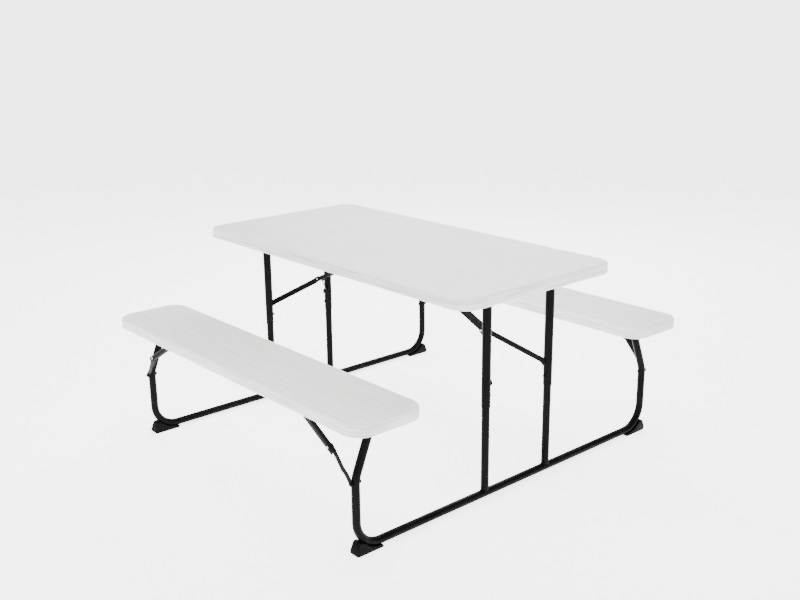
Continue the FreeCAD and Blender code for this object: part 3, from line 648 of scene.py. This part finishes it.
def plug(shape, centre, axis, radius):
    """A moulded end plug in a tube: a thin flange round the axle bore."""
    profile = (
        (PLUG_BORE, 0.0),
        (PLUG_BORE, -PLUG_FLANGE),
        (radius - PLUG_FACE_INSET, -PLUG_FLANGE),
        (radius - PLUG_SIDE_INSET, -PLUG_SIDE_HEIGHT),
        (radius - PLUG_SIDE_INSET, 0.0),
    )
    lathe_loop(shape, centre, axis, profile)


def end_frame(side):
    """One end's tubes: the bent leg tube, the bench and table cross tubes, the posts and the welds."""
    n = frame_numbers(side)
    x, r = n["x"], n["radius"]
    leg_body = "leg_frame_" + side
    post_body = "upper_posts_" + side

    corners = [
        Vector((x, -(n["riser_y"] - LEAN), n["bench_pivot"] - r * RISER_JOIN)),
        Vector((x, -n["riser_y"], KNEE)),
        Vector((x, -n["riser_y"], n["base_z"])),
        Vector((x, n["riser_y"], n["base_z"])),
        Vector((x, n["riser_y"], KNEE)),
        Vector((x, n["riser_y"] - LEAN, n["bench_pivot"] - r * RISER_JOIN)),
    ]
    path = rounded_run(corners, (UPPER_BEND, LOWER_BEND, LOWER_BEND, UPPER_BEND))
    base = Shape()
    tube(base, path, r, r - TUBE_WALL)
    base.piece("bent_leg_tube_" + side, COAT, leg_body, ("base_tube_" + side,))

    bars = Shape()
    beads = Shape()
    for _, end_sign in ENDS:
        y_low, y_high = bench_bar_span(end_sign)
        start = Vector((x, y_low, n["bench_pivot"]))
        finish = Vector((x, y_high, n["bench_pivot"]))
        tube(bars, straight_path(start, finish, 4), r, r - TUBE_WALL)
        knee = Vector((x, end_sign * n["riser_y"], KNEE))
        joint = Vector((x, end_sign * (n["riser_y"] - LEAN), n["bench_pivot"]))
        saddle_weld(beads, joint, (knee - joint).normalized(), r, r)
        saddle_weld(beads, Vector((x, end_sign * n["post_y"], n["base_z"])), Z_AXIS, r, r)
    bars.piece("bench_cross_tubes_" + side, COAT, leg_body, ("bench_pivot_bars_" + side,))
    beads.piece("leg_weld_beads_" + side, COAT, leg_body, smooth_angle=180)

    plugs = Shape()
    for _, end_sign in ENDS:
        y_low, y_high = bench_bar_span(end_sign)
        plug(plugs, Vector((x, y_high, n["bench_pivot"])), Y_AXIS, r)
        plug(plugs, Vector((x, y_low, n["bench_pivot"])), -Y_AXIS, r)
    plugs.piece("bench_tube_plugs_" + side, MOULDED, leg_body)

    top_bar = Shape()
    reach = n["table_bar"]
    ends = (Vector((x, -reach, n["table_pivot"])), Vector((x, reach, n["table_pivot"])))
    tube(top_bar, straight_path(ends[0], ends[1], 6), r, r - TUBE_WALL)
    top_bar.piece("table_cross_tube_" + side, COAT, post_body, ("table_pivot_bar_" + side,))
    top_plugs = Shape()
    plug(top_plugs, ends[1], Y_AXIS, r)
    plug(top_plugs, ends[0], -Y_AXIS, r)
    top_plugs.piece("table_tube_plugs_" + side, MOULDED, post_body)

    sleeve_beads = Shape()
    for end, end_sign in ENDS:
        y = end_sign * n["post_y"]
        post = Shape()
        low = Vector((x, y, n["base_z"] + r * POST_JOIN))
        high = Vector((x, y, n["post_top"]))
        tube(post, straight_path(low, high, 10), r, r - TUBE_WALL)
        ending = "_%s_%s" % (side, end)
        lower = post.piece("lower_post" + ending, COAT, leg_body, ("inner_post" + ending,))
        sleeve = Shape()
        low = Vector((x, y, n["sleeve_low"]))
        high = Vector((x, y, n["table_pivot"] - r * POST_JOIN))
        tube(sleeve, straight_path(low, high, 10), n["sleeve"], n["sleeve"] - SLEEVE_WALL)
        upper = sleeve.piece("sleeve_post" + ending, COAT, post_body, ("outer_post" + ending,))
        saddle_weld(sleeve_beads, Vector((x, y, n["table_pivot"])), -Z_AXIS, n["sleeve"], r)
        height = sum(v.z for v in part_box("snap_button" + ending)) / 2
        stroke = JOINTS["height"]["range_m"][1]
        holes = [Vector((x, y - end_sign * r, z)) for z in (height, height - stroke)]
        punch(lower, holes, HOLE_RADIUS)
        punch(upper, [Vector((x, y - end_sign * n["sleeve"], height))], HOLE_RADIUS)
    sleeve_beads.piece("sleeve_weld_beads_" + side, COAT, post_body, smooth_angle=180)


def punch(piece, centres, radius):
    """Cut round holes along Y through the near wall of a tube."""
    cutter = Shape()
    for centre in centres:
        start = centre - Y_AXIS * (CUTTER_LENGTH / 2)
        lathe(cutter, start, Y_AXIS, ((radius, 0.0), (radius, CUTTER_LENGTH)), ROUND_SIDES)
    mesh = bpy.data.meshes.new("cutter")
    mesh.from_pydata([tuple(v) for v in cutter.verts], [], cutter.faces)
    tool = bpy.data.objects.new("cutter", mesh)
    bpy.context.scene.collection.objects.link(tool)
    modifier = piece.modifiers.new("holes", "BOOLEAN")
    modifier.operation = "DIFFERENCE"
    modifier.solver = "EXACT"
    modifier.object = tool
    bpy.context.view_layer.update()
    result = bpy.data.meshes.new_from_object(piece.evaluated_get(bpy.context.evaluated_depsgraph_get()))
    piece.modifiers.remove(modifier)
    piece.data = result
    bpy.data.objects.remove(tool)
    piece.data.shade_smooth()
    piece.data.set_sharp_from_angle(angle=math.radians(SHARP_ANGLE))


for side, _ in SIDES:
    end_frame(side)


# ---------------------------------------------------------------- remaining nodes, refined

WELD_DISTANCE = 2e-6
BEVEL_ANGLE = 40.0
BEVEL_SEGMENTS = 2


def refined(node, name, material, width):
    """A copy of a CAD node's mesh with its sharp edges rounded over."""
    mesh = frame["nodes"][node].data.copy()
    mesh.name = name
    mesh.materials.clear()
    tidy = bmesh.new()
    tidy.from_mesh(mesh)
    bmesh.ops.remove_doubles(tidy, verts=tidy.verts, dist=WELD_DISTANCE)
    tidy.to_mesh(mesh)
    tidy.free()
    piece = finish_piece(name, mesh, material, frame["nodes"][node]["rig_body"], (node,))
    bevel = piece.modifiers.new("soft_edges", "BEVEL")
    bevel.width = width
    bevel.segments = BEVEL_SEGMENTS
    bevel.limit_method = "ANGLE"
    bevel.angle_limit = math.radians(BEVEL_ANGLE)
    bevel.use_clamp_overlap = True
    bevel.harden_normals = True
    return piece


DETAILS = (
    ("bench_rail_", COAT, 0.0005),
    ("table_rail_", COAT, 0.0005),
    ("table_crossbar", COAT, 0.0006),
    ("brace_hanger", COAT, 0.0004),
    ("bench_brace_brackets", COAT, 0.0004),
    ("bench_channel_", COAT, 0.0005),
    ("bench_bar_", COAT, 0.0006),
    ("brace_arm_", COAT, 0.0006),
    ("centre_link_", COAT, 0.0005),
    ("feet_", MOULDED, 0.0012),
    ("snap_button_", COAT, 0.0003),
    ("button_springs_", ZINC, 0.0001),
    ("bench_screws", ZINC, 0.0004),
    ("table_screws", ZINC, 0.0004),
    ("bench_pivot_axles", COAT, 0.0006),
    ("table_pivot_bolts", COAT, 0.0006),
    ("hanger_pins", COAT, 0.0006),
    ("bracket_rivets", COAT, 0.0005),
    ("arm_pivot_rivets_", COAT, 0.0005),
    ("brace_bolts_", COAT, 0.0006),
)
for node in sorted(frame["nodes"]):
    for prefix, material, width in DETAILS:
        if node.startswith(prefix):
            refined(node, "shaped_" + node, material, width)


def dome(shape, centre, axis, radius, height):
    """A low polished rivet dome standing on a face."""
    angles = [0.0] + quarter(5)
    profile = [(radius * math.cos(a), height * math.sin(a)) for a in angles]
    lathe(shape, centre, axis, profile, ROUND_SIDES)


def elbow(node, width, side_sign):
    """The X and Z of a brace bar's round upper end, which lies nearest the middle of the table."""
    low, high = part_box(node)
    inner = low.x + width / 2 if side_sign > 0 else high.x - width / 2
    return inner, high.z - width / 2


ARM_WIDTH = 0.020
BAR_WIDTH = 0.016
ARM_FACE_OFFSET = 0.0055
ARM_DOME_RADIUS = 0.0034
BENCH_DOME_RADIUS = 0.0040
DOME_HEIGHT = 0.0014
for side, side_sign in SIDES:
    for end, end_sign in ENDS:
        arm = "brace_arm_%s_%s" % (side, end)
        x, z = elbow(arm, ARM_WIDTH, side_sign)
        link_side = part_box("centre_link_" + side)[1].y
        face = (link_side + ARM_FACE_OFFSET) * end_sign
        rivet = Shape()
        dome(rivet, Vector((x, face, z)), Y_AXIS * end_sign, ARM_DOME_RADIUS, DOME_HEIGHT)
        rivet.piece("elbow_rivet_%s_%s" % (side, end), ZINC, frame["nodes"][arm]["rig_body"])

        channel = "bench_channel_%s_%s" % (side, end)
        x, z = elbow("bench_bar_%s_%s" % (side, end), BAR_WIDTH, side_sign)
        low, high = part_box(channel)
        face = high.y if end_sign > 0 else low.y
        rivet = Shape()
        dome(rivet, Vector((x, face, z)), Y_AXIS * end_sign, BENCH_DOME_RADIUS, DOME_HEIGHT)
        rivet.piece("bench_elbow_rivet_%s_%s" % (side, end), ZINC, frame["nodes"][channel]["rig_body"])


# ---------------------------------------------------------------- stage, light and camera

FLOOR_FLAT = 20.0
FLOOR_FAR = 600.0
FLOOR_RISE = 45.0


def stage():
    """A glowing white studio floor whose far edges rise above the horizon, and a soft sky."""
    floor_mesh = bpy.data.meshes.new("floor")
    reach = (-FLOOR_FAR, -FLOOR_FLAT, FLOOR_FLAT, FLOOR_FAR)
    verts = []
    for y in reach:
        for x in reach:
            verts.append((x, y, FLOOR_RISE if max(abs(x), abs(y)) > FLOOR_FLAT else 0.0))
    faces = [(r + c, r + c + 1, r + c + 5, r + c + 4) for r in (0, 4, 8) for c in (0, 1, 2)]
    floor_mesh.from_pydata(verts, [], faces)
    floor = bpy.data.objects.new("floor", floor_mesh)
    bpy.context.scene.collection.objects.link(floor)
    g = Graph("studio_floor")
    g.constant("Base Color", (0.90, 0.90, 0.90, 1))
    g.constant("Emission Color", (1.0, 1.0, 1.0, 1))
    g.constant("Emission Strength", 3.4)
    g.constant("Roughness", 0.9)
    g.constant("Specular IOR Level", 0.1)
    floor_mesh.materials.append(g.material)

    world = bpy.data.worlds.new("studio")
    world.use_nodes = True
    sky = world.node_tree.nodes["Background"]
    sky.inputs["Color"].default_value = (1.0, 1.0, 1.0, 1)
    sky.inputs["Strength"].default_value = 0.85
    bpy.context.scene.world = world


def area_light(name, place, target, size, energy):
    data = bpy.data.lights.new(name, "AREA")
    data.shape = "RECTANGLE"
    data.size, data.size_y = size
    data.energy = energy
    light = bpy.data.objects.new(name, data)
    light.location = place
    light.rotation_euler = (Vector(target) - Vector(place)).to_track_quat("-Z", "Y").to_euler()
    bpy.context.scene.collection.objects.link(light)


CAMERA_PLACE = (2.606, -2.2506, 1.5052)
CAMERA_TURN = (48.919, -16.324, -0.596)
FOCAL_SHARE = 1.2729
SENSOR_WIDTH = 36.0


def camera():
    """The camera at the photograph's angle: yaw from +Y towards -X, pitch, and roll, in degrees."""
    yaw, pitch, roll = (math.radians(a) for a in CAMERA_TURN)
    level = math.cos(pitch)
    forward = Vector((-math.sin(yaw) * level, math.cos(yaw) * level, math.sin(pitch)))
    level_right = Vector((math.cos(yaw), math.sin(yaw), 0))
    level_up = level_right.cross(forward)
    right = math.cos(roll) * level_right + math.sin(roll) * level_up
    up = -math.sin(roll) * level_right + math.cos(roll) * level_up
    turn = Matrix((right, up, -forward)).transposed()
    data = bpy.data.cameras.new("camera")
    data.sensor_width = SENSOR_WIDTH
    data.lens = SENSOR_WIDTH * FOCAL_SHARE
    made = bpy.data.objects.new("camera", data)
    made.matrix_world = Matrix.Translation(Vector(CAMERA_PLACE)) @ turn.to_4x4()
    bpy.context.scene.collection.objects.link(made)
    bpy.context.scene.camera = made


stage()
area_light("back", (-1.9, 2.3, 2.7), (0, 0, 0.5), (2.6, 1.4), 170)
area_light("overhead", (-0.2, -0.2, 3.6), (0, 0, 0.4), (3.4, 2.6), 160)
area_light("front", (1.4, -4.2, 2.4), (0, 0, 0.5), (3.0, 1.6), 80)
camera()
